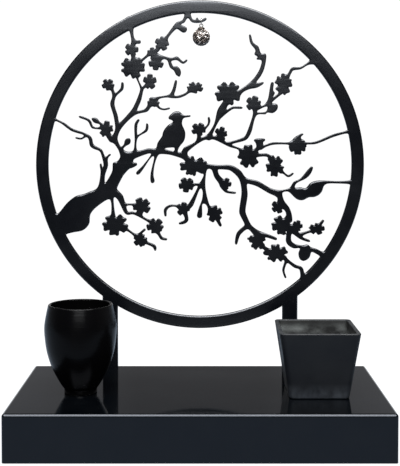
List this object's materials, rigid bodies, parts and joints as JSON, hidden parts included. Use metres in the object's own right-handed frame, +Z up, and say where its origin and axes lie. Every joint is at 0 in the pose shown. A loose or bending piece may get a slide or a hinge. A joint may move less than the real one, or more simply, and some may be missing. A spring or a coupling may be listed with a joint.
{
  "type": "cremation urn with blossom screen, vase and pot",
  "caption": "Low box urn for ashes with a round pierced screen of blossoming boughs and a bird on it, a hanging ball charm, a turned vase and a square pot.",
  "frame": {"origin": "middle of the box's underside, on the surface that it stands on", "axes": "+Z up; X along the box's length, to the right seen from the front; +Y from the front towards the screen at the back"},
  "size_m": [0.4, 0.21, 0.4885],
  "materials": {
    "gloss_black": "gloss black lacquer",
    "satin_black": "satin black powder coat",
    "black_glaze": "satin black glaze",
    "charcoal": "matte charcoal, lightly scuffed",
    "steel": "bright wire and screws",
    "stones": "set all over with small clear stones"
  },
  "bodies": {
    "root": {"base_box": "gloss_black", "base_plate": "satin_black", "plate_screw_1": "steel", "plate_screw_2": "steel", "plate_screw_3": "steel", "plate_screw_4": "steel", "blossom_screen": "satin_black", "vase": "black_glaze", "square_pot": "charcoal", "charm_ball": "stones", "charm_ring": "steel"}
  },
  "joints": []
}
